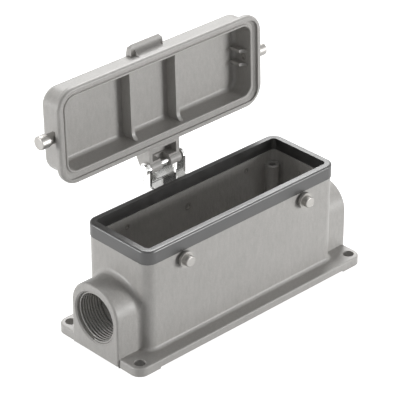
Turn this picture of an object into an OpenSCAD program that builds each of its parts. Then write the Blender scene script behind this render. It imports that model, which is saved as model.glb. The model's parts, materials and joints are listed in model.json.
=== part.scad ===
// Surface-mounting housing of a heavy duty rectangular connector, with a hinged die-cast cover.
// Origin at the centre of the flange's underside. X runs along the housing, +Y towards the hinge, +Z up.
// The cover is modelled shut, lip down, and then swung open about the hinge axis.

/* [Housing body] */
// Length of the body
body_l = 118.8; // [112:0.1:140]
// Width of the body
body_w = 40.4; // [39:0.1:50]
// Height of the rim above the flange's underside
rim_z = 54.3; // [50:0.1:75]
// Radius of the body's upright corners
body_corner_r = 5.2; // [4.6:0.1:7]
// Thickness of the walls
wall = 3.5; // [3.3:0.1:4]
// Radius of the cavity's upright corners
cavity_corner_r = 3; // [2.5:0.1:4]
// Thickness of the closed floor
floor_t = 3; // [2:0.1:4]
// Rounding where the floor meets the walls
floor_cove_r = 2; // [1:0.5:2.5]
// Rounding where the body meets the flange
body_cove_r = 1.8; // [0.6:0.1:2]
// Diameter of the cast pip on the cavity's end walls
pip_d = 1.6; // [1:0.1:2]
// Height of the pip's centre
pip_z = 43.2; // [41:0.1:44]

/* [Flange] */
// Length of the flange
flange_l = 144; // [138:0.5:160]
// Width of the flange
flange_w = 56; // [54:0.5:70]
// Thickness of the flange
flange_t = 4.5; // [3.5:0.1:6]
// Radius of the flange's corners
flange_corner_r = 5; // [3:0.5:6]
// Rounding of the flange's upper edge
flange_edge_r = 0.8; // [0.4:0.1:1.2]
// Diameter of the fixing holes
fixing_hole_d = 5.4; // [4.5:0.1:5.6]
// Distance of the fixing holes from the flange's edges
fixing_inset = 4.8; // [4.5:0.1:6]
// Length of the corner pads that the flange stands on
pad_l = 13; // [11:0.5:16]
// Height of the relief between the pads
pad_h = 0.8; // [0.4:0.1:1.2]
// Distance that the relief reaches in from the flange's edge
relief_in = 4; // [2:0.5:6]

/* [Cable entries] */
// Radius of the entry's thread, over the crests of its screw
entry_r = 12.5; // [9:0.1:13]
// Height of the entry's axis
entry_z = 19.5; // [18:0.1:21]
// Depth of the threaded part
entry_depth = 14; // [8:0.5:15]
// Step from the thread in to the passage behind it
entry_step = 1.2; // [0.8:0.1:2]
// Chamfer at the entry's mouth
entry_chamfer = 0.7; // [0.3:0.1:1]
// Metal beside the thread
boss_side_t = 2.7; // [2:0.1:3]
// Metal above the thread
boss_top_t = 3.9; // [2:0.1:5]
// Radius of the boss's upper corners
boss_corner_r = 13.5; // [9:0.5:14]
// Rounding of the boss's outer edge
boss_edge_r = 1; // [0.4:0.1:1.2]
// How far the boss stands proud of the flange's end
boss_proud = 1; // [0.4:0.1:2]
// Rounding where the boss meets the body
boss_cove_r = 2.5; // [1:0.1:2.5]

/* [Insert posts] */
// Distance of a post's hole from the cavity's end wall
post_inset_x = 3.9; // [3.5:0.1:5]
// Distance of a post's hole from the cavity's side wall
post_inset_y = 3.2; // [3:0.1:4]
// Height of the posts' tops
post_z = 44.5; // [40:0.5:46]
// Radius of a post round its hole
post_r = 3.2; // [3:0.1:4]
// Diameter of a post's tapped hole
post_hole_d = 3.3; // [2.5:0.1:3.5]
// Thickness of the web from a post to the side wall
post_web_t = 4; // [2:0.1:5]
// Thickness of the rib from a post to the end wall
post_rib_t = 1.4; // [1:0.1:3]
// Depth of a post's tapped hole
post_hole_depth = 11.5; // [6:0.5:11.5]

/* [Rim seal] */
// How far the seal stands proud of the body
seal_proud = 0.3; // [0.1:0.1:0.6]
// Thickness of the seal over the rim
seal_top_t = 1.5; // [1:0.1:2]
// Thickness of the seal's outer leg
seal_outer_t = 1.1; // [0.9:0.1:1.3]
// Thickness of the seal's inner leg
seal_inner_t = 1; // [0.7:0.1:1.2]
// Thickness of the rim inside the seal
tongue_t = 1.2; // [0.8:0.1:1.3]
// Height of the seal's outer band
seal_outer_h = 7; // [6:0.1:8]
// Height of the seal's inner band
seal_inner_h = 5.8; // [4:0.1:8]
// Rounding of the seal's upper edges
seal_edge_r = 1; // [0.4:0.1:1.2]
// Rounding of the seal's lower outer edge
seal_foot_r = 0.4; // [0.2:0.1:0.6]

/* [Locking pegs] */
// Distance of the pegs from the body's ends
peg_inset = 21.7; // [18:0.1:26]
// Height of the pegs' axes
peg_z = 45; // [44:0.1:45]
// Diameter of a peg's neck at the wall
peg_neck_d = 4.8; // [4.4:0.1:5.2]
// Length of a peg's neck
peg_neck_l = 1; // [0.8:0.1:2]
// Diameter of a peg's collar
peg_collar_d = 7.8; // [7:0.1:9]
// Thickness of a peg's collar
peg_collar_t = 1.3; // [0.8:0.1:2]
// Diameter of a peg's pin
peg_pin_d = 5.3; // [5:0.1:6.8]
// Length of a peg's pin
peg_pin_l = 2.8; // [2:0.1:5]
// Diameter of a peg's shank
peg_shank_d = 3; // [2.6:0.1:4]
// Depth of the dimple in a peg's riveted end
dimple_depth = 0.5; // [0.2:0.1:1]
// Rounding of the turned pegs' edges
turned_edge_r = 0.5; // [0.2:0.1:0.8]

/* [Cover] */
// Depth of the cover from its lip to its back
cover_h = 15; // [13:0.5:20]
// Thickness of the cover's back
cover_back_t = 2.5; // [2:0.1:4]
// Width of the lip beyond the seal
lip_margin = 2.95; // [2.5:0.05:4]
// Thickness of the lip
lip_t = 3; // [2:0.1:4]
// Radius of the lip's corners
lip_corner_r = 10; // [8:0.1:11]
// Rounding of the lip's front edge
lip_front_r = 1.3; // [0.8:0.1:2]
// Rounding of the lip's back edge
lip_back_r = 0.5; // [0.3:0.1:1]
// Step in from the lip to the cover's shell at the ends
lip_step_end = 2.15; // [1.5:0.05:2.5]
// Step in from the lip to the cover's shell at the sides
lip_step_side = 2.85; // [2:0.05:3]
// Radius of the shell's corners
shell_corner_r = 8; // [6.5:0.1:8]
// Rounding of the shell's back edge
shell_back_r = 3; // [1.5:0.1:3]
// Thickness of the shell at the ends
shell_end_t = 3.75; // [3:0.05:4]
// Thickness of the shell at the sides
shell_side_t = 2.6; // [2:0.1:2.8]
// Radius of the hollow's corners
hollow_corner_r = 5; // [4:0.1:5.5]
// Rounding of the hollow's bottom edge
hollow_cove_r = 2; // [1:0.1:2.5]
// Depth of the sloping seat inside the lip
seat_depth = 2; // [1.5:0.1:2.5]
// Width of the sloping seat inside the lip
seat_w = 1.6; // [1:0.1:1.8]
// Depth of the seat's straight edge in front of its slope
seat_edge = 0.9; // [0.5:0.1:1.2]
// Gap between the seal's side and the cover's seat
seat_gap = 0.4; // [0.3:0.05:0.6]
// Depth at which the shut lip overlaps the seal
lip_overlap = 0.8; // [0.4:0.1:1]
// Radius of the bead round the hollow
bead_r = 0.6; // [0.4:0.1:0.7]
// Distance between the two ribs
rib_spacing = 28; // [20:0.5:40]
// Thickness of the ribs
rib_t = 2; // [1:0.1:3]
// Height of the ribs
rib_h = 6.1; // [4:0.1:7]
// Radius of the ribs' flare at the hinge side
rib_flare_r = 3.6; // [2:0.1:4]

/* [Cover pegs] */
// Depth of the pegs' axes behind the lip
cover_peg_depth = 6.3; // [5.5:0.1:8]
// Diameter of a cover peg's neck
cover_peg_neck_d = 5.4; // [5:0.1:6.2]
// Length of a cover peg's neck
cover_peg_neck_l = 4; // [3:0.1:7]
// Diameter of a cover peg's head
cover_peg_head_d = 6.5; // [6.3:0.1:7]
// Length of a cover peg's head
cover_peg_head_l = 5; // [3:0.1:6]
// Diameter of a cover peg's shank
cover_peg_shank_d = 3.6; // [3:0.1:4.4]
// Thickness of the gussets beside a cover peg
gusset_t = 1.5; // [1:0.1:2]
// Distance between the gussets beside a cover peg
gusset_spacing = 7; // [6:0.1:9]
// Reach of the gussets from the end wall
gusset_reach = 3; // [2:0.1:4]
// Depth of the gussets' front edges behind the lip
gusset_depth = 3.5; // [3:0.1:5]

/* [Finger lip] */
// Width of the finger lip
finger_w = 19.4; // [14:0.2:30]
// Reach of the finger lip from the shell
finger_reach = 5.3; // [4:0.1:6]
// Height of the finger lip's tip behind the cover's lip
finger_tip_z = 11.9; // [11:0.1:12.5]
// Thickness of the finger lip's tip
finger_tip_t = 0.6; // [0.4:0.1:1]
// Bend and corner cut at the finger lip's tip
finger_bend = 1.7; // [1:0.1:2]
// Width of the scooped web under the finger lip
finger_web_w = 15; // [8:0.5:15]
// Depth of the recess beside the web
finger_recess = 0.6; // [0.2:0.1:1]

/* [Hinge] */
// Angle to which the cover opens
open_angle = 91.8; // [80:0.1:95]
// Distance of the hinge axis beyond the seal
hinge_reach = 13.1; // [13:0.1:16]
// Height of the hinge axis above the shut lip
hinge_rise = 2.4; // [2.2:0.1:3]
// Gap between the open cover and the bracket's rear stop
stop_gap = 0.3; // [0.25:0.05:0.6]
// Diameter of the hinge pin
pin_d = 3; // [2:0.1:3.4]
// Running clearance round the pin, on the radius
pin_clearance = 0.05; // [0.02:0.01:0.1]
// Diameter of the pin's head
pin_head_d = 5.2; // [4:0.1:6]
// Thickness of the pin's head
pin_head_t = 1; // [0.6:0.1:1.5]
// Radius of the cover's knuckles
knuckle_r = 2.75; // [2.4:0.05:2.9]
// Width of the cover's hinge lug
lug_w = 18.8; // [14:0.1:24]
// Width of the slot between the knuckles
knuckle_slot_w = 5.4; // [3:0.1:7]
// Height of the slot above the axis
knuckle_slot_h = 3.2; // [3:0.1:4]
// Height of the lug's flat face beyond the axis
lug_face_h = 4.6; // [4:0.1:6]
// Height of the recess in the lug above the axis
lug_recess_h = 4.5; // [3:0.1:5]
// Thickness of the cheeks beside the lug's recess
cheek_t = 2; // [1.5:0.1:3]
// Thickness of the bracket's sheet
sheet_t = 1.2; // [0.8:0.1:1.5]
// Inner radius of the bracket's folds
fold_r = 0.8; // [0.5:0.1:1.2]
// Gap between the lug and the bracket's ears
ear_gap = 0.6; // [0.3:0.1:1]
// Radius of an ear's eye
eye_r = 3.3; // [2.8:0.1:3.6]
// Width of an ear's neck
neck_w = 4.6; // [3.5:0.1:6]
// Length of the bracket's wall leg
leg_l = 13; // [11:0.5:16]
// Height of the gap between the seal and the bracket's shelf
shelf_gap = 1.6; // [0.8:0.1:2]
// Width of the bracket's tongue
tongue_w = 8.4; // [5:0.1:10]
// Height of the bracket's tongue above the shelf
tongue_h = 4.8; // [3:0.1:5.5]
// Diameter of the bracket rivet's shank
rivet_d = 4; // [3:0.1:5]
// Diameter of the bracket rivet's head
rivet_head_d = 7; // [6:0.1:8]
// Thickness of the bracket rivet's head
rivet_head_t = 1.6; // [1:0.1:2.5]

/* [Hidden] */
$fn = 64;

paint = [0.66, 0.65, 0.63];
black_rubber = [0.10, 0.10, 0.10];
bright_steel = [0.86, 0.86, 0.86];
dull_steel = [0.62, 0.61, 0.59];

// How far a cutting tool runs past the faces it opens
clear = 1;
// How far a rib or web runs into the wall that carries it
root = 0.5;
// Width of the dimple in a riveted end, as a share of its shank
dimple_share = 0.6;

// Rim and seal
seal_z = rim_z + seal_top_t;
shoulder_z = seal_z - seal_outer_h;
inner_shoulder_z = seal_z - seal_inner_h;
seal_l = body_l + 2 * seal_proud;
seal_w = body_w + 2 * seal_proud;
seal_r = body_corner_r + seal_proud;
tongue_out = seal_r - seal_outer_t;
tongue_in = tongue_out - tongue_t;
seal_in = tongue_in - seal_inner_t;
corner_x = body_l / 2 - body_corner_r;
corner_y = body_w / 2 - body_corner_r;
cavity_l = body_l - 2 * wall;
cavity_w = body_w - 2 * wall;

// Cable entries
boss_half_w = entry_r + boss_side_t;
boss_z = entry_z + entry_r + boss_top_t;
boss_low = -boss_corner_r - clear;
boss_high = flange_l / 2 + boss_proud;
// Centre of the plan fillet between a boss's side and the body's upright corner
fillet_y = boss_half_w + boss_cove_r;
fillet_x = corner_x + sqrt(pow(body_corner_r + boss_cove_r, 2) - pow(fillet_y - corner_y, 2));
fillet_end_y = corner_y + (fillet_y - corner_y) * body_corner_r / (body_corner_r + boss_cove_r);
passage_r = entry_r - entry_step;

// Insert posts
post_x = cavity_l / 2 - post_inset_x;
post_y = cavity_w / 2 - post_inset_y;
peg_x = body_l / 2 - peg_inset;

// Cover, in its own place: z runs from the lip's face to the cover's back
lip_l = seal_l + 2 * lip_margin;
lip_w = seal_w + 2 * lip_margin;
shell_l = lip_l - 2 * lip_step_end;
shell_w = lip_w - 2 * lip_step_side;
hollow_l = shell_l - 2 * shell_end_t;
hollow_w = shell_w - 2 * shell_side_t;
hollow_h = cover_h - cover_back_t;
seat_l = seal_l + 2 * seat_gap;
seat_w_out = seal_w + 2 * seat_gap;
seat_r = seal_r + seat_gap;
rib_x = rib_spacing / 2;
lip_z = seal_z - lip_overlap;

// Hinge
axis_y = seal_w / 2 + hinge_reach;
axis_z = lip_z + hinge_rise;
ear_in = lug_w / 2 + ear_gap;
ear_out = ear_in + sheet_t;
shelf_z = shoulder_z - shelf_gap;
shelf_end_y = axis_y + knuckle_r + sheet_t;
ear_front_y = axis_y - eye_r;
leg_low_z = shelf_z - leg_l;
rivet_z = (leg_low_z + shelf_z) / 2;

// ---------- Shared shapes ----------

// An upright section with its outer corners rounded: x runs outwards, y upwards.
module edge_section(out, low, high, top_r = 0, foot_r = 0) {
    difference() {
        translate([0, low]) square([out, high - low]);
        if (top_r > 0)
            translate([out - top_r, high - top_r]) difference() {
                square(2 * top_r);
                circle(top_r);
            }
        if (foot_r > 0)
            translate([out - foot_r, low + foot_r]) mirror([0, 1]) difference() {
                square(2 * foot_r);
                circle(foot_r);
            }
    }
}

// The hollow section that eases a wall at x = 0 into a floor at y = 0.
module cove_section(r) {
    difference() {
        translate([-r / 2, -r / 2]) square(1.5 * r);
        translate([r, r]) circle(r);
    }
}

// Sweeps a section round a rectangle of corner centres, l by w, with its x pointing outwards.
module around(l, w) {
    for (side = [0, 180])
        rotate(side) {
            translate([l / 2, w / 2]) rotate_extrude(angle = 90) children();
            translate([-l / 2, w / 2]) rotate(90) rotate_extrude(angle = 90) children();
            translate([-l / 2, w / 2, 0]) rotate([90, 0, 90]) linear_extrude(l) children();
            translate([l / 2, w / 2, 0]) rotate([90, 0, 0]) linear_extrude(w) children();
        }
}

// A rectangular block with round corners and, if asked, round upper and lower edges.
module block(l, w, r, low, high, top_r = 0, foot_r = 0) {
    around(l - 2 * r, w - 2 * r) edge_section(r, low, high, top_r, foot_r);
    translate([r - l / 2, r - w / 2, low]) cube([l - 2 * r, w - 2 * r, high - low]);
}

// Draws a section in the plane across the housing, x to +Y and y to +Z, and gives it a width along X.
module across(w) {
    rotate([90, 0, 90]) translate([0, 0, -w / 2]) linear_extrude(w) children();
}

// Repeats its children at both ends of the housing.
module both_ends() {
    children();
    mirror([1, 0, 0]) children();
}

// ---------- Housing ----------

module flange() {
    block(flange_l, flange_w, flange_corner_r, 0, flange_t, top_r = flange_edge_r);
}

// A boss stands on the flange and reaches out to its end, with the entry bored through it.
module entry_boss() {
    rotate([90, 0, 90])
        translate([0, (boss_z + boss_low) / 2, 0])
            block(2 * boss_half_w, boss_z - boss_low, boss_corner_r, corner_x, boss_high,
                  top_r = boss_edge_r);
}

// The rounding between a boss and the body's end, trimmed where it runs on to the upright corners.
module boss_cove() {
    difference() {
        intersection() {
            rotate([90, 0, 90]) translate([0, (boss_z + boss_low) / 2, body_l / 2])
                around(2 * (boss_half_w - boss_corner_r), boss_z - boss_low - 2 * boss_corner_r)
                    translate([boss_corner_r, 0]) cove_section(boss_cove_r);
            translate([corner_x, -fillet_end_y, boss_low])
                cube([boss_high - corner_x, 2 * fillet_end_y, rim_z - boss_low]);
        }
        for (y = [-fillet_y, fillet_y])
            translate([fillet_x, y, boss_low]) cylinder(r = boss_cove_r, h = rim_z - boss_low);
    }
}

module entry_bore() {
    translate([0, 0, entry_z]) rotate([0, 90, 0]) {
        translate([0, 0, boss_high - entry_depth]) cylinder(r = entry_r, h = entry_depth + clear);
        translate([0, 0, boss_high - entry_chamfer])
            cylinder(r1 = entry_r, r2 = entry_r + entry_chamfer + clear, h = entry_chamfer + clear);
        translate([0, 0, post_x - post_r - clear]) cylinder(r = passage_r, h = boss_high - post_x);
    }
}

module cavity() {
    block(cavity_l, cavity_w, cavity_corner_r, floor_t, seal_z, foot_r = floor_cove_r);
}

// The body up to the seal's lower edge, with the thin tongue that the seal grips.
module body_shell() {
    difference() {
        union() {
            block(body_l, body_w, body_corner_r, flange_t / 2, shoulder_z);
            around(2 * corner_x, 2 * corner_y)
                translate([body_corner_r, flange_t]) cove_section(body_cove_r);
            block(2 * (corner_x + tongue_out), 2 * (corner_y + tongue_out), tongue_out,
                  shoulder_z - wall, rim_z);
        }
        cavity();
        block(2 * (corner_x + tongue_in), 2 * (corner_y + tongue_in), tongue_in,
              inner_shoulder_z, seal_z);
    }
}

// A round post with a web to the side wall and a rib to the end wall. It carries one screw of the insert.
module insert_post() {
    h = post_z - floor_t + root;
    translate([post_x, post_y, floor_t - root]) {
        cylinder(r = post_r, h = h);
        translate([-post_web_t / 2, 0, 0]) cube([post_web_t, post_inset_y + root, h]);
        translate([0, -post_rib_t / 2, 0]) cube([post_inset_x + root, post_rib_t, h]);
    }
}

module cast_pip() {
    translate([cavity_l / 2 - pip_d / 3, 0, pip_z]) rotate([0, 90, 0]) cylinder(d = pip_d, h = pip_d / 3 + root);
}

module fixing_holes() {
    for (x = [-1, 1], y = [-1, 1])
        translate([x * (flange_l / 2 - fixing_inset), y * (flange_w / 2 - fixing_inset), -clear])
            cylinder(d = fixing_hole_d, h = flange_t + 2 * clear);
}

// The flange stands on corner pads, with its edges relieved between them.
module flange_relief() {
    for (side = [0, 180])
        rotate(side) {
            translate([pad_l - flange_l / 2, flange_w / 2 - relief_in, -clear])
                cube([flange_l - 2 * pad_l, relief_in + clear, pad_h + clear]);
            translate([flange_l / 2 - relief_in, pad_l - flange_w / 2, -clear])
                cube([relief_in + clear, flange_w - 2 * pad_l, pad_h + clear]);
        }
}

module peg_places() {
    for (x = [-1, 1], y = [-1, 1])
        translate([x * peg_x, y * body_w / 2, peg_z]) rotate([-y * 90, 0, 0]) children();
}

module housing() {
    color(paint) difference() {
        union() {
            difference() {
                union() {
                    flange();
                    both_ends() {
                        entry_boss();
                        boss_cove();
                    }
                }
                cavity();
                translate([-flange_l, -flange_w, -2 * flange_w]) cube(2 * [flange_l, flange_w, flange_w]);
            }
            body_shell();
            both_ends() {
                insert_post();
                mirror([0, 1, 0]) insert_post();
                cast_pip();
            }
        }
        both_ends() entry_bore();
        both_ends() for (y = [-post_y, post_y])
            translate([post_x, y, post_z - post_hole_depth])
                cylinder(d = post_hole_d, h = post_hole_depth + clear);
        fixing_holes();
        flange_relief();
        peg_places() translate([0, 0, -wall - clear]) cylinder(d = peg_shank_d, h = wall + 2 * clear);
        translate([0, body_w / 2, rivet_z]) rotate([90, 0, 0])
            translate([0, 0, -clear]) cylinder(d = rivet_d, h = wall + 2 * clear);
    }
}

// ---------- Rim seal ----------

module seal_section() {
    difference() {
        edge_section(seal_r, shoulder_z, seal_z, top_r = seal_edge_r, foot_r = seal_foot_r);
        translate([-clear, shoulder_z - clear]) square([seal_in + clear, seal_z]);
        translate([tongue_in, shoulder_z - clear]) square([tongue_t, rim_z - shoulder_z + clear]);
        translate([-clear, shoulder_z - clear])
            square([tongue_in + clear, inner_shoulder_z - shoulder_z + clear]);
    }
}

module rim_seal() {
    color(black_rubber) around(2 * corner_x, 2 * corner_y) seal_section();
}

// ---------- Pegs and rivets ----------

// A shank through a wall, l thick below z = 0, with a dimple in its riveted end.
module riveted_shank(d, l) {
    difference() {
        translate([0, 0, -l]) cylinder(d = d, h = l + root);
        translate([0, 0, -l - clear]) cylinder(d = d * dimple_share, h = clear + dimple_depth);
    }
}

// A turned peg along +Z from the wall's outer face, its shank riveted over inside.
module locking_peg() {
    tip = peg_neck_l + peg_collar_t + peg_pin_l;
    color(dull_steel) {
        riveted_shank(peg_shank_d, wall);
        cylinder(d = peg_neck_d, h = peg_neck_l);
        translate([0, 0, peg_neck_l]) cylinder(d = peg_collar_d, h = peg_collar_t);
        rotate_extrude() edge_section(peg_pin_d / 2, peg_neck_l, tip, top_r = turned_edge_r);
    }
}

// Places a locking peg: x and y are -1 or 1 for the end and the side it is on.
module peg_at(x, y) {
    translate([x * peg_x, y * body_w / 2, peg_z]) rotate([-y * 90, 0, 0]) locking_peg();
}

module locking_peg_front_left() { peg_at(-1, -1); }
module locking_peg_front_right() { peg_at(1, -1); }
module locking_peg_back_left() { peg_at(-1, 1); }
module locking_peg_back_right() { peg_at(1, 1); }

module bracket_rivet() {
    color(dull_steel)
        translate([0, body_w / 2, rivet_z]) rotate([-90, 0, 0]) {
            riveted_shank(rivet_d, wall);
            cylinder(d = rivet_d, h = sheet_t + root);
            rotate_extrude()
                edge_section(rivet_head_d / 2, sheet_t, sheet_t + rivet_head_t, top_r = rivet_head_t * 0.75);
        }
}

// ---------- Hinge ----------

// The folded strip down the bracket's middle: wall leg, shelf and rear stop.
module strip_section() {
    wall_y = body_w / 2;
    bend = fold_r + sheet_t;
    stop_y = shelf_end_y;
    // wall leg
    translate([wall_y, leg_low_z]) square([sheet_t, shelf_z - bend - leg_low_z]);
    // shelf
    translate([wall_y + bend, shelf_z - sheet_t]) square([stop_y - wall_y - 2 * bend, sheet_t]);
    // fold from the leg to the shelf
    intersection() {
        translate([wall_y, shelf_z - bend]) square(bend);
        translate([wall_y + bend, shelf_z - bend]) difference() {
            circle(bend);
            circle(fold_r);
        }
    }
    // fold from the shelf to the stop
    intersection() {
        translate([stop_y - bend, shelf_z - sheet_t]) square(bend);
        translate([stop_y - bend, shelf_z + fold_r]) difference() {
            circle(bend);
            circle(fold_r);
        }
    }
    // rear stop
    translate([stop_y - sheet_t, shelf_z + fold_r])
        square([sheet_t, axis_z - knuckle_r - stop_gap - shelf_z - fold_r]);
}

// An ear in its own plane: a foot on the shelf, a neck and the eye round the pin.
module ear_outline() {
    translate([axis_y, axis_z]) circle(eye_r);
    translate([ear_front_y, shelf_z - sheet_t / 2]) square([neck_w, axis_z - shelf_z + sheet_t / 2]);
    translate([body_w / 2 + fold_r + sheet_t, shelf_z - sheet_t])
        square([shelf_end_y - body_w / 2 - 2 * (fold_r + sheet_t), sheet_t + 2]);
}

module hinge_bracket() {
    color(bright_steel) difference() {
        union() {
            across(2 * ear_in) strip_section();
            both_ends() translate([ear_in + sheet_t / 2, 0, 0]) across(sheet_t) ear_outline();
            across(tongue_w) translate([ear_front_y - sheet_t, shelf_z - sheet_t / 2])
                square([sheet_t, tongue_h + sheet_t / 2]);
        }
        translate([0, axis_y, axis_z]) rotate([0, 90, 0])
            translate([0, 0, -ear_out - clear]) cylinder(d = pin_d, h = 2 * (ear_out + clear));
        translate([0, body_w / 2, rivet_z]) rotate([-90, 0, 0])
            translate([0, 0, -clear]) cylinder(d = rivet_d, h = sheet_t + 2 * clear);
    }
}

module hinge_pin() {
    color(bright_steel)
        translate([0, axis_y, axis_z]) rotate([0, 90, 0]) {
            translate([0, 0, -ear_out]) cylinder(d = pin_d, h = 2 * ear_out);
            mirror([0, 0, 1])
                rotate_extrude()
                    edge_section(pin_head_d / 2, ear_out, ear_out + pin_head_t, top_r = pin_head_t * 0.4);
            rotate_extrude()
                edge_section(pin_head_d * 0.4, ear_out, ear_out + pin_head_t * 0.7, top_r = pin_head_t * 0.4);
        }
}

// ---------- Cover ----------

// Swings what is modelled shut about the hinge axis to the open stop.
module swung_open() {
    translate([0, axis_y, axis_z]) rotate([-open_angle, 0, 0])
        translate([0, -axis_y, lip_z - axis_z]) children();
}

module cover_casting() {
    block(lip_l, lip_w, lip_corner_r, 0, lip_t, top_r = lip_back_r, foot_r = lip_front_r);
    block(shell_l, shell_w, shell_corner_r, lip_t / 2, cover_h, top_r = shell_back_r);
    finger_lip();
    hinge_lug();
}

module cover_hollow() {
    block(hollow_l, hollow_w, hollow_corner_r, -clear, hollow_h, top_r = hollow_cove_r);
    seat_x = seat_l - 2 * seat_r;
    seat_y = seat_w_out - 2 * seat_r;
    around(seat_x, seat_y)
        polygon([[0, -clear], [seat_r, -clear], [seat_r, seat_edge], [seat_r - seat_w, seat_depth], [0, seat_depth]]);
    translate([-seat_x / 2, -seat_y / 2, -clear]) cube([seat_x, seat_y, seat_depth + clear]);
}

module hollow_bead() {
    around(hollow_l - 2 * hollow_corner_r, hollow_w - 2 * hollow_corner_r)
        translate([hollow_corner_r + bead_r, seat_depth]) circle(bead_r);
}

// A rib across the hollow, flared up to the bead at the hinge side.
module cover_rib() {
    low = hollow_h - rib_h;
    end = hollow_w / 2;
    across(rib_t) {
        translate([-end - root, low]) square([hollow_w + 2 * root, rib_h + root]);
        translate([end - rib_flare_r, low - rib_flare_r]) difference() {
            square([rib_flare_r + root, rib_flare_r + root]);
            circle(rib_flare_r);
        }
    }
}

// The gussets on the end wall beside a cover peg's riveted end.
module end_gussets() {
    for (y = [-1, 1])
        translate([hollow_l / 2 - gusset_reach, (y * gusset_spacing + gusset_t) / 2, gusset_depth])
            rotate([90, 0, 0]) linear_extrude(gusset_t) difference() {
                square([gusset_reach + root, hollow_h - gusset_depth + root]);
                circle(0.85 * gusset_reach);
            }
}

// The finger lip seen from above, in the cover's own place, with its front corners cut off.
module finger_plan() {
    front = -shell_w / 2 - finger_reach;
    half = finger_w / 2;
    polygon([[-half, 0], [-half, front + finger_bend], [finger_bend - half, front],
             [half - finger_bend, front], [half, front + finger_bend], [half, 0]]);
}

// Places a side view of the finger lip: x runs outwards from the shell's side, y towards the cover's back.
module finger_side(w) {
    across(w) translate([-shell_w / 2, 0]) mirror([1, 0]) difference() {
        children();
        translate([finger_reach, finger_tip_z - finger_tip_t - finger_reach]) circle(finger_reach);
    }
}

// The tab that a finger lifts, on the side away from the hinge. A scooped web carries it.
module finger_lip() {
    low = finger_tip_z - finger_tip_t - finger_recess;
    intersection() {
        finger_side(finger_w)
            polygon([[-shell_back_r, low], [finger_reach, low], [finger_reach, finger_tip_z],
                     [finger_reach - finger_bend, finger_tip_z + finger_bend], [-shell_back_r, cover_h]]);
        linear_extrude(cover_h) finger_plan();
    }
    finger_side(finger_web_w)
        translate([-root, low - finger_reach + finger_recess])
            square([finger_reach + root, finger_reach]);
}

// The lug's side view: from the shell's back down to the knuckle, flat beyond the axis.
module lug_outline() {
    side = shell_w / 2 - root;
    rise = hinge_rise;
    foot = rise - knuckle_r + lip_t / 2;
    face = axis_y + knuckle_r;
    polygon([[side, foot], [axis_y, foot], [axis_y, rise], [face, rise], [face, rise + lug_face_h],
             [face - 2 * knuckle_r, rise + lug_face_h + knuckle_r], [side, cover_h - shell_back_r / 2]]);
    translate([axis_y, rise]) circle(knuckle_r);
}

module hinge_lug() {
    rise = hinge_rise;
    recess_y = lip_w / 2 + lip_t / 2;
    knuckle_y = ear_front_y;
    difference() {
        across(lug_w) lug_outline();
        // recess between the cheeks
        across(lug_w - 2 * cheek_t)
            translate([recess_y, -knuckle_r]) square([knuckle_y - recess_y, rise + knuckle_r + lug_recess_h]);
        // slot between the knuckles
        across(knuckle_slot_w)
            translate([knuckle_y - clear, -knuckle_r])
                square([2 * (eye_r + clear), rise + knuckle_r + knuckle_slot_h]);
        // pin bore
        translate([0, axis_y, rise]) rotate([0, 90, 0])
            translate([0, 0, -lug_w]) cylinder(r = pin_d / 2 + pin_clearance, h = 2 * lug_w);
    }
}

module cover() {
    color(paint) swung_open() {
        difference() {
            union() {
                difference() {
                    cover_casting();
                    cover_hollow();
                }
                for (x = [-rib_x, rib_x]) translate([x, 0, 0]) cover_rib();
                both_ends() end_gussets();
                hollow_bead();
            }
            both_ends() translate([shell_l / 2 - shell_end_t - clear, 0, cover_peg_depth]) rotate([0, 90, 0])
                cylinder(d = cover_peg_shank_d, h = shell_end_t + 2 * clear);
        }
    }
}

// A turned peg in the cover's end wall: shank, neck and head.
module cover_peg() {
    color(dull_steel) swung_open()
        translate([shell_l / 2, 0, cover_peg_depth]) rotate([0, 90, 0]) {
            riveted_shank(cover_peg_shank_d, shell_end_t);
            cylinder(d = cover_peg_neck_d, h = cover_peg_neck_l);
            rotate_extrude()
                edge_section(cover_peg_head_d / 2, cover_peg_neck_l, cover_peg_neck_l + cover_peg_head_l,
                             top_r = turned_edge_r, foot_r = turned_edge_r);
        }
}

module cover_peg_left() { mirror([1, 0, 0]) cover_peg(); }
module cover_peg_right() { cover_peg(); }

housing();
rim_seal();
locking_peg_front_left();
locking_peg_front_right();
locking_peg_back_left();
locking_peg_back_right();
hinge_bracket();
bracket_rivet();
hinge_pin();
cover();
cover_peg_left();
cover_peg_right();
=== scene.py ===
"""Dresses a die-cast connector housing with a hinged cover.

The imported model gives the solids. This script gives them their finishes, winds the screw threads
that the solids leave plain, and sets up the floor, the lights and the camera. Sizes are in metres.
"""

import json
import logging
import math
from dataclasses import dataclass, field
from enum import Enum
from typing import Optional, Sequence

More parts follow.
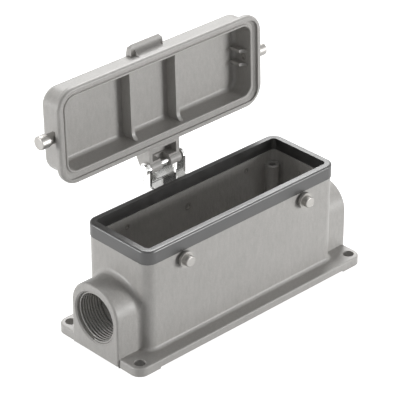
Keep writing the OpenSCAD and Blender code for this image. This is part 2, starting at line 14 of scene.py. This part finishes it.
import bpy
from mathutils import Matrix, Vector


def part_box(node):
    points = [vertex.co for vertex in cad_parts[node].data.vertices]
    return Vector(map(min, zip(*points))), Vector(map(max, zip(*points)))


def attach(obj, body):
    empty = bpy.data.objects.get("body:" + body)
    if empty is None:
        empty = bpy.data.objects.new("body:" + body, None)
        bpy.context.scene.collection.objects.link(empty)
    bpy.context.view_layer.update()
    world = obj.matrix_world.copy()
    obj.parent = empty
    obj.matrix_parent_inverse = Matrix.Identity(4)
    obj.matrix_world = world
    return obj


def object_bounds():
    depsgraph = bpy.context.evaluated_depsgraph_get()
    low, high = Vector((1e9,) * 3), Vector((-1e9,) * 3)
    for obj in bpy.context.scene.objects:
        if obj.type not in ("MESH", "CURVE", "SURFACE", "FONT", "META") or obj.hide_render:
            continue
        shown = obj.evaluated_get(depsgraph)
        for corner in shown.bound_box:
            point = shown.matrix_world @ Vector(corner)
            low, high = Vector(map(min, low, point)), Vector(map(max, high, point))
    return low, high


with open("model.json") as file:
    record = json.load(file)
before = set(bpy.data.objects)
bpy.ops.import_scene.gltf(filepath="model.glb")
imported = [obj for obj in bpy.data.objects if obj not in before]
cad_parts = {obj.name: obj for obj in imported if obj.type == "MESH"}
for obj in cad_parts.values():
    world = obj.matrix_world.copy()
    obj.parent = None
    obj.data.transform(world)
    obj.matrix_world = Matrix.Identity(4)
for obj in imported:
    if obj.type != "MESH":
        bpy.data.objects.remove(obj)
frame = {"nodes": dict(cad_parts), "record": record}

LOG = logging.getLogger("connector_housing")
MM = 0.001
CAD_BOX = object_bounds()

Colour = tuple[float, float, float]
Span = tuple[float, float]

# Most of a noise texture's values lie in this span
NOISE_SPAN: Span = (0.3, 0.7)


class Body(Enum):
    """The rigid bodies that new pieces ride on."""

    HOUSING = "housing_body"


class Slot(Enum):
    """The record's material slots."""

    GREY_PAINT = "grey_paint"
    SEAL_RUBBER = "seal_rubber"
    BRIGHT_STEEL = "bright_steel"
    DULL_STEEL = "dull_steel"


class ShaderGraph:
    """A material's node tree, with short calls for the nodes that the finishes share."""

    def __init__(self, name: str) -> None:
        """Makes an empty node material with a Principled shader.

        Args:
            name: The material's name.
        """
        self.material = bpy.data.materials.new(name)
        self.material.use_nodes = True
        self.tree = self.material.node_tree
        self.shader = self.tree.nodes["Principled BSDF"]
        self.coordinates = self.tree.nodes.new("ShaderNodeTexCoord").outputs["Object"]

    def set(self, **sockets: object) -> None:
        """Sets constants on the shader's own sockets.

        Args:
            sockets: Socket names, with underscores for spaces, and their values.
        """
        for name, value in sockets.items():
            self.shader.inputs[name.replace("_", " ")].default_value = value

    def stretched(self, scale: Sequence[float]) -> bpy.types.NodeSocket:
        """Returns the object coordinates scaled along each axis.

        Args:
            scale: Factors along X, Y and Z.

        Returns:
            The scaled vector.
        """
        mapping = self.tree.nodes.new("ShaderNodeMapping")
        mapping.inputs["Scale"].default_value = tuple(scale)
        self.tree.links.new(self.coordinates, mapping.inputs["Vector"])
        return mapping.outputs["Vector"]

    def noise(self, size: float, detail: float = 3.0, rough: float = 0.55,
              stretch: Sequence[float] = (1.0, 1.0, 1.0)) -> bpy.types.NodeSocket:
        """Adds a noise texture whose blotches are about one size across.

        Args:
            size: The blotches' size in metres.
            detail: How many finer layers the noise has.
            rough: How strong the finer layers are.
            stretch: How much longer the blotches are along X, Y and Z.

        Returns:
            The noise value, from 0 to 1.
        """
        node = self.tree.nodes.new("ShaderNodeTexNoise")
        node.inputs["Scale"].default_value = 1.0
        node.inputs["Detail"].default_value = detail
        node.inputs["Roughness"].default_value = rough
        vector = self.stretched([1.0 / (size * part) for part in stretch])
        self.tree.links.new(vector, node.inputs["Vector"])
        return node.outputs["Fac"]

    def math(self, operation: str, first: object, second: object) -> bpy.types.NodeSocket:
        """Adds a math node.

        Args:
            operation: The node's operation, such as ADD.
            first: A socket or a number.
            second: A socket or a number.

        Returns:
            The result.
        """
        node = self.tree.nodes.new("ShaderNodeMath")
        node.operation = operation
        for socket, value in zip(node.inputs, (first, second)):
            if isinstance(value, bpy.types.NodeSocket):
                self.tree.links.new(value, socket)
            else:
                socket.default_value = value
        return node.outputs[0]

    def ramp(self, value: bpy.types.NodeSocket, ends: Span) -> bpy.types.NodeSocket:
        """Maps the usual span of a noise to a new span, held at its ends.

        Args:
            value: The noise's value.
            ends: The new span's start and end.

        Returns:
            The mapped value.
        """
        node = self.tree.nodes.new("ShaderNodeMapRange")
        for name, number in zip(("From Min", "From Max", "To Min", "To Max"), (*NOISE_SPAN, *ends)):
            node.inputs[name].default_value = number
        self.tree.links.new(value, node.inputs["Value"])
        return node.outputs["Result"]

    def tint(self, value: bpy.types.NodeSocket, dark: Colour, light: Colour) -> bpy.types.NodeSocket:
        """Blends two colours by a value.

        Args:
            value: 0 for the dark colour and 1 for the light one.
            dark: The first colour, linear.
            light: The second colour, linear.

        Returns:
            The blended colour.
        """
        node = self.tree.nodes.new("ShaderNodeMix")
        node.data_type = "RGBA"
        colour_in = [s for s in node.inputs if s.type == "RGBA"]
        colour_in[0].default_value = (*dark, 1.0)
        colour_in[1].default_value = (*light, 1.0)
        self.tree.links.new(value, node.inputs[0])
        return [s for s in node.outputs if s.type == "RGBA"][0]

    def bump(self, height: bpy.types.NodeSocket, distance: float,
             under: Optional[bpy.types.NodeSocket] = None) -> bpy.types.NodeSocket:
        """Adds a bump of a real height.

        Args:
            height: The height, from 0 to 1.
            distance: The height of a full step in metres.
            under: The normal of a coarser bump beneath, if any.

        Returns:
            The bumped normal.
        """
        node = self.tree.nodes.new("ShaderNodeBump")
        node.inputs["Distance"].default_value = distance
        self.tree.links.new(height, node.inputs["Height"])
        if under is not None:
            self.tree.links.new(under, node.inputs["Normal"])
        return node.outputs["Normal"]

    def drive(self, socket: str, value: bpy.types.NodeSocket) -> None:
        """Links a value to one of the shader's sockets.

        Args:
            socket: The socket's name.
            value: What drives it.
        """
        self.tree.links.new(value, self.shader.inputs[socket])


@dataclass(frozen=True)
class PowderCoat:
    """Grey powder coat on a die-casting: a fine sandy skin with streaks down the walls."""

    name: str = "grey_powder_coat"
    dark: Colour = (0.355, 0.345, 0.330)
    light: Colour = (0.470, 0.458, 0.440)
    roughness: Span = (0.36, 0.50)
    grain: float = 0.55 * MM
    streak: float = 1.5 * MM
    cloud: float = 22.0 * MM
    grain_height: float = 0.035 * MM
    streak_height: float = 0.075 * MM
    grain_share: float = 0.35
    streak_share: float = 0.4
    cloud_share: float = 0.25

    def material(self) -> bpy.types.Material:
        """Builds the material."""
        graph = ShaderGraph(self.name)
        grain = graph.noise(self.grain, detail=2.0)
        streak = graph.noise(self.streak, detail=3.0, stretch=(1.0, 1.0, 2.6))
        cloud = graph.noise(self.cloud, detail=2.0)
        speckle = graph.math("ADD", graph.math("MULTIPLY", grain, self.grain_share),
                             graph.math("MULTIPLY", streak, self.streak_share))
        mottle = graph.math("ADD", speckle, graph.math("MULTIPLY", cloud, self.cloud_share))
        graph.drive("Base Color", graph.tint(graph.ramp(mottle, (0.0, 1.0)), self.dark, self.light))
        graph.drive("Roughness", graph.ramp(streak, self.roughness))
        coarse = graph.bump(streak, self.streak_height)
        graph.drive("Normal", graph.bump(grain, self.grain_height, coarse))
        graph.set(IOR=1.5)
        return graph.material


@dataclass(frozen=True)
class SealRubber:
    """Smooth black rubber with a faint moulded haze."""

    name: str = "black_seal_rubber"
    dark: Colour = (0.012, 0.012, 0.012)
    light: Colour = (0.030, 0.030, 0.029)
    roughness: Span = (0.29, 0.42)
    haze: float = 6.0 * MM
    grain: float = 0.3 * MM
    grain_height: float = 0.01 * MM

    def material(self) -> bpy.types.Material:
        """Builds the material."""
        graph = ShaderGraph(self.name)
        haze = graph.noise(self.haze, detail=4.0)
        graph.drive("Base Color", graph.tint(haze, self.dark, self.light))
        graph.drive("Roughness", graph.ramp(haze, self.roughness))
        graph.drive("Normal", graph.bump(graph.noise(self.grain), self.grain_height))
        graph.set(IOR=1.8)
        return graph.material


@dataclass(frozen=True)
class Steel:
    """Bare steel, with fine lines along one axis and a cloudy tone."""

    name: str
    dark: Colour
    light: Colour
    roughness: Span
    cloud: float = 3.0 * MM
    line: float = 0.12 * MM
    line_height: float = 0.004 * MM
    run: tuple[float, float, float] = (1.0, 1.0, 12.0)

    def material(self) -> bpy.types.Material:
        """Builds the material."""
        graph = ShaderGraph(self.name)
        lines = graph.noise(self.line, detail=2.0, stretch=self.run)
        cloud = graph.noise(self.cloud, detail=3.0)
        graph.drive("Base Color", graph.tint(cloud, self.dark, self.light))
        graph.drive("Roughness", graph.ramp(cloud, self.roughness))
        graph.drive("Normal", graph.bump(lines, self.line_height))
        graph.set(Metallic=1.0)
        return graph.material


class Finishes:
    """Every finish on the object, made once."""

    def __init__(self) -> None:
        """Builds a material for each of the record's slots."""
        self.materials = {
            Slot.GREY_PAINT: PowderCoat().material(),
            Slot.SEAL_RUBBER: SealRubber().material(),
            Slot.BRIGHT_STEEL: Steel(name="bright_sheet_steel", dark=(0.72, 0.72, 0.71),
                                     light=(0.86, 0.86, 0.85), roughness=(0.12, 0.22)).material(),
            Slot.DULL_STEEL: Steel(name="dull_turned_steel", dark=(0.30, 0.29, 0.28),
                                   light=(0.40, 0.39, 0.37), roughness=(0.38, 0.48),
                                   run=(1.0, 10.0, 1.0)).material(),
        }

    def dress(self, slot: Slot, *nodes: str) -> None:
        """Gives CAD nodes the finish of a slot.

        Args:
            slot: The record's slot.
            nodes: The nodes' names.
        """
        for node in nodes:
            solid = frame["nodes"][node]
            solid.data.materials.clear()
            solid.data.materials.append(self.materials[slot])


def add_piece(name: str, mesh: bpy.types.Mesh, body: Body) -> bpy.types.Object:
    """Adds a mesh as a piece that rides on a body.

    Args:
        name: The piece's name.
        mesh: Its mesh, already in place.
        body: The body that it rides on.

    Returns:
        The new object.
    """
    mesh.name = name
    piece = bpy.data.objects.new(name, mesh)
    bpy.context.scene.collection.objects.link(piece)
    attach(piece, body.value)
    LOG.info("%s: %d faces on %s", name, len(mesh.polygons), body.value)
    return piece


class ThreadTree:
    """A Geometry Nodes tree that winds a screw thread's ridge inside a bore.

    The shares say how wide the ridge is at its root and at its crest, as parts of the pitch.
    """

    ROOT_SHARE = 0.92
    CREST_SHARE = 0.16

    def __init__(self) -> None:
        """Builds the tree, with its sizes as named inputs."""
        self.tree = bpy.data.node_groups.new("screw_thread", "GeometryNodeTree")
        face = self.tree.interface
        face.new_socket("Geometry", in_out="OUTPUT", socket_type="NodeSocketGeometry")
        self.sockets = {
            name: face.new_socket(name, in_out="INPUT", socket_type=kind).identifier
            for name, kind in (
                ("Radius", "NodeSocketFloat"),
                ("Pitch", "NodeSocketFloat"),
                ("Turns", "NodeSocketFloat"),
                ("Depth", "NodeSocketFloat"),
                ("Steps", "NodeSocketInt"),
                ("Material", "NodeSocketMaterial"),
            )
        }
        self._build()

    def _node(self, kind: str, **settings: object) -> bpy.types.Node:
        """Adds a node and sets its properties.

        Args:
            kind: The node's type.
            settings: Property names and values.

        Returns:
            The node.
        """
        node = self.tree.nodes.new(kind)
        for name, value in settings.items():
            setattr(node, name, value)
        return node

    def _times(self, first: bpy.types.NodeSocket, second: object) -> bpy.types.NodeSocket:
        """Multiplies a socket by a socket or a number.

        Args:
            first: A socket.
            second: A socket or a number.

        Returns:
            The product.
        """
        node = self._node("ShaderNodeMath", operation="MULTIPLY")
        self.tree.links.new(first, node.inputs[0])
        if isinstance(second, bpy.types.NodeSocket):
            self.tree.links.new(second, node.inputs[1])
        else:
            node.inputs[1].default_value = second
        return node.outputs[0]

    def _build(self) -> None:
        """Winds a trapezium along a helix about Z, its narrow side towards the axis."""
        link = self.tree.links.new
        given = self._node("NodeGroupInput").outputs
        spiral = self._node("GeometryNodeCurveSpiral")
        link(given["Steps"], spiral.inputs["Resolution"])
        link(given["Turns"], spiral.inputs["Rotations"])
        link(given["Radius"], spiral.inputs["Start Radius"])
        link(given["Radius"], spiral.inputs["End Radius"])
        link(self._times(given["Pitch"], given["Turns"]), spiral.inputs["Height"])
        upright = self._node("GeometryNodeSetCurveNormal", mode="Z_UP")
        link(spiral.outputs["Curve"], upright.inputs["Curve"])
        section = self._node("GeometryNodeCurvePrimitiveQuadrilateral", mode="TRAPEZOID")
        link(self._times(given["Pitch"], self.ROOT_SHARE), section.inputs["Bottom Width"])
        link(self._times(given["Pitch"], self.CREST_SHARE), section.inputs["Top Width"])
        link(given["Depth"], section.inputs["Height"])
        section.inputs["Offset"].default_value = 0.0
        turned = self._node("GeometryNodeTransform")
        link(section.outputs["Curve"], turned.inputs["Geometry"])
        turned.inputs["Rotation"].default_value = (0.0, 0.0, math.radians(90))
        sweep = self._node("GeometryNodeCurveToMesh")
        link(upright.outputs["Curve"], sweep.inputs["Curve"])
        link(turned.outputs["Geometry"], sweep.inputs["Profile Curve"])
        sweep.inputs["Fill Caps"].default_value = True
        whole = self._node("GeometryNodeRealizeInstances")
        link(sweep.outputs["Mesh"], whole.inputs["Geometry"])
        finish = self._node("GeometryNodeSetMaterial")
        link(whole.outputs["Geometry"], finish.inputs["Geometry"])
        link(given["Material"], finish.inputs["Material"])
        out = self._node("NodeGroupOutput")
        link(finish.outputs["Geometry"], out.inputs["Geometry"])

    def mesh(self, **values: object) -> bpy.types.Mesh:
        """Runs the tree and returns its result as a plain mesh.

        Args:
            values: A value for each of the tree's named inputs.

        Returns:
            The thread's ridge, winding up from Z = 0.
        """
        carrier = bpy.data.objects.new("thread_carrier", bpy.data.meshes.new("thread_carrier"))
        bpy.context.scene.collection.objects.link(carrier)
        modifier = carrier.modifiers.new("thread", "NODES")
        modifier.node_group = self.tree
        for name, value in values.items():
            modifier[self.sockets[name]] = value
        graph = bpy.context.evaluated_depsgraph_get()
        mesh = bpy.data.meshes.new_from_object(carrier.evaluated_get(graph), depsgraph=graph)
        bpy.data.objects.remove(carrier)
        return mesh


@dataclass
class CableEntry:
    """The screw thread in a cable entry.

    The ridge's root sinks a little into the wall, and the thread starts behind the mouth's chamfer.
    """

    mount: str
    pitch: float = 1.5 * MM
    depth: float = 0.95 * MM
    steps: int = 72
    mouth_gap: float = 0.9 * MM
    mouth_chamfer: float = 0.7 * MM
    root_sink: float = 0.06 * MM
    radius: float = field(init=False)
    length: float = field(init=False)
    outward: int = field(init=False)
    height: float = field(init=False)
    turns: float = field(init=False)

    def __post_init__(self) -> None:
        """Reads the entry's place and size from the record."""
        mount = next(m for m in frame["record"]["mounts"] if m["name"] == self.mount)
        self.radius = mount["dims"]["r_mm"] * MM
        self.length = mount["dims"]["length_mm"] * MM
        self.outward = 1 if mount["axis"][0] > 0 else -1
        self.height = mount["pos_m"][2]
        self.turns = (self.length - self.mouth_gap) / self.pitch

    def build(self, tree: ThreadTree, finishes: Finishes) -> None:
        """Winds the thread and sets it in the boss.

        Args:
            tree: The tree that winds it.
            finishes: The object's finishes.
        """
        mesh = tree.mesh(Radius=self.radius - self.depth / 2 + self.root_sink / 2, Pitch=self.pitch,
                         Turns=self.turns, Depth=self.depth + self.root_sink, Steps=self.steps,
                         Material=finishes.materials[Slot.GREY_PAINT])
        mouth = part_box("housing")[1].x - self.mouth_chamfer
        start = mouth - self.length + self.mouth_gap / 2
        for vertex in mesh.vertices:
            x, y, z = vertex.co
            vertex.co = Vector((self.outward * (start + z), self.outward * x, y + self.height))
        mesh.update()
        add_piece(f"thread_{self.mount}", mesh, Body.HOUSING)


class Housing:
    """The housing's casting, seal, pegs and hinge hardware."""

    PEGS = tuple(f"locking_peg_{side}_{end}" for side in ("front", "back") for end in ("left", "right"))
    ENTRIES = ("entry_left", "entry_right")

    def build(self, finishes: Finishes) -> None:
        """Dresses the housing's nodes and threads its entries.

        Args:
            finishes: The object's finishes.
        """
        finishes.dress(Slot.GREY_PAINT, "housing")
        finishes.dress(Slot.SEAL_RUBBER, "rim_seal")
        finishes.dress(Slot.DULL_STEEL, *self.PEGS, "bracket_rivet")
        finishes.dress(Slot.BRIGHT_STEEL, "hinge_bracket", "hinge_pin")
        tree = ThreadTree()
        for entry in self.ENTRIES:
            CableEntry(entry).build(tree, finishes)


class Cover:
    """The hinged cover and its pegs."""

    def build(self, finishes: Finishes) -> None:
        """Dresses the cover's nodes.

        Args:
            finishes: The object's finishes.
        """
        finishes.dress(Slot.GREY_PAINT, "cover")
        finishes.dress(Slot.DULL_STEEL, "cover_peg_left", "cover_peg_right")


@dataclass(frozen=True)
class Lamp:
    """A soft studio lamp, placed round the object."""

    name: str
    azimuth: float
    elevation: float
    distance: float
    size: float
    power: float

    def build(self, centre: Vector) -> None:
        """Adds the lamp, aimed at a point.

        Args:
            centre: The point that it shines on.
        """
        data = bpy.data.lights.new(self.name, "AREA")
        data.shape = "DISK"
        data.size = self.size
        data.energy = self.power
        lamp = bpy.data.objects.new(self.name, data)
        bpy.context.scene.collection.objects.link(lamp)
        towards = direction(self.azimuth, self.elevation)
        lamp.location = centre + towards * self.distance
        lamp.rotation_mode = "QUATERNION"
        lamp.rotation_quaternion = towards.to_track_quat("Z", "Y")


def direction(azimuth: float, elevation: float) -> Vector:
    """Returns the unit vector from the object towards a viewer or lamp.

    Args:
        azimuth: Degrees round the object. 0 is in front of it, on the -Y side.
        elevation: Degrees above the horizon.

    Returns:
        The direction.
    """
    a, e = math.radians(azimuth), math.radians(elevation)
    return Vector((math.sin(a) * math.cos(e), -math.cos(a) * math.cos(e), math.sin(e)))


def seen_directly(tree: bpy.types.NodeTree) -> bpy.types.NodeSocket:
    """Adds nodes that tell camera and glossy rays from the rest.

    Args:
        tree: The node tree that they go into.

    Returns:
        1 for a camera or glossy ray, and 0 for any other.
    """
    path = tree.nodes.new("ShaderNodeLightPath")
    seen = tree.nodes.new("ShaderNodeMath")
    seen.operation = "MAXIMUM"
    tree.links.new(path.outputs["Is Camera Ray"], seen.inputs[0])
    tree.links.new(path.outputs["Is Glossy Ray"], seen.inputs[1])
    return seen.outputs[0]


@dataclass
class Studio:
    """A white room: a pale floor, an even sky, soft lamps and the camera."""

    azimuth: float = -43.682
    elevation: float = 29.804
    distance: float = 1.0307
    lens: float = 198.78
    aim: tuple[float, float, float] = (0.0108, 0.0201, 0.0384)
    floor_size: float = 8.0
    floor_drop: float = 0.02 * MM
    floor_tone: float = 0.4
    sky: float = 0.16
    lamps: tuple[Lamp, ...] = (
        Lamp("front_lamp", 28.0, 6.0, 1.3, 0.5, 12.5),
        Lamp("left_lamp", -116.0, 6.0, 1.3, 0.5, 11.5),
        Lamp("back_lamp", 135.0, 50.0, 1.2, 0.6, 15.0),
    )

    def build(self) -> None:
        """Builds the whole room."""
        centre = Vector(self.aim)
        self._camera(centre)
        self._floor()
        self._sky()
        for lamp in self.lamps:
            lamp.build(centre)
        bpy.context.scene.view_settings.view_transform = "Standard"

    def _camera(self, aim: Vector) -> None:
        """Sets the camera up, looking at a point."""
        data = bpy.data.cameras.new("camera")
        data.lens = self.lens
        camera = bpy.data.objects.new("camera", data)
        bpy.context.scene.collection.objects.link(camera)
        back = direction(self.azimuth, self.elevation)
        camera.location = aim + back * self.distance
        camera.rotation_mode = "QUATERNION"
        camera.rotation_quaternion = (-back).to_track_quat("-Z", "Y")
        bpy.context.scene.camera = camera

    def _floor(self) -> None:
        """Lays a floor that the camera and glossy surfaces see as plain white."""
        half = self.floor_size / 2
        low = CAD_BOX[0].z - self.floor_drop
        mesh = bpy.data.meshes.new("floor")
        mesh.from_pydata([(-half, -half, low), (half, -half, low), (half, half, low), (-half, half, low)],
                         [], [(0, 1, 2, 3)])
        floor = bpy.data.objects.new("floor", mesh)
        bpy.context.scene.collection.objects.link(floor)
        material = bpy.data.materials.new("white_floor")
        material.use_nodes = True
        tree = material.node_tree
        shader = tree.nodes["Principled BSDF"]
        shader.inputs["Base Color"].default_value = (*[self.floor_tone] * 3, 1.0)
        shader.inputs["Roughness"].default_value = 0.9
        shader.inputs["Emission Color"].default_value = (1.0, 1.0, 1.0, 1.0)
        tree.links.new(seen_directly(tree), shader.inputs["Emission Strength"])
        mesh.materials.append(material)

    def _sky(self) -> None:
        """Makes an even sky that the camera and glossy surfaces see as white."""
        world = bpy.data.worlds.new("sky")
        bpy.context.scene.world = world
        world.use_nodes = True
        tree = world.node_tree
        background = tree.nodes["Background"]
        background.inputs["Color"].default_value = (1.0, 1.0, 1.0, 1.0)
        seen = seen_directly(tree)
        level = tree.nodes.new("ShaderNodeMapRange")
        level.inputs["To Min"].default_value = self.sky
        level.inputs["To Max"].default_value = 1.0
        tree.links.new(seen, level.inputs["Value"])
        tree.links.new(level.outputs["Result"], background.inputs["Strength"])


def main() -> None:
    """Builds the studio and dresses the object."""
    logging.basicConfig(level=logging.INFO, format="%(name)s: %(message)s")
    Studio().build()
    finishes = Finishes()
    Housing().build(finishes)
    Cover().build(finishes)


if __name__ == "__main__":
    main()
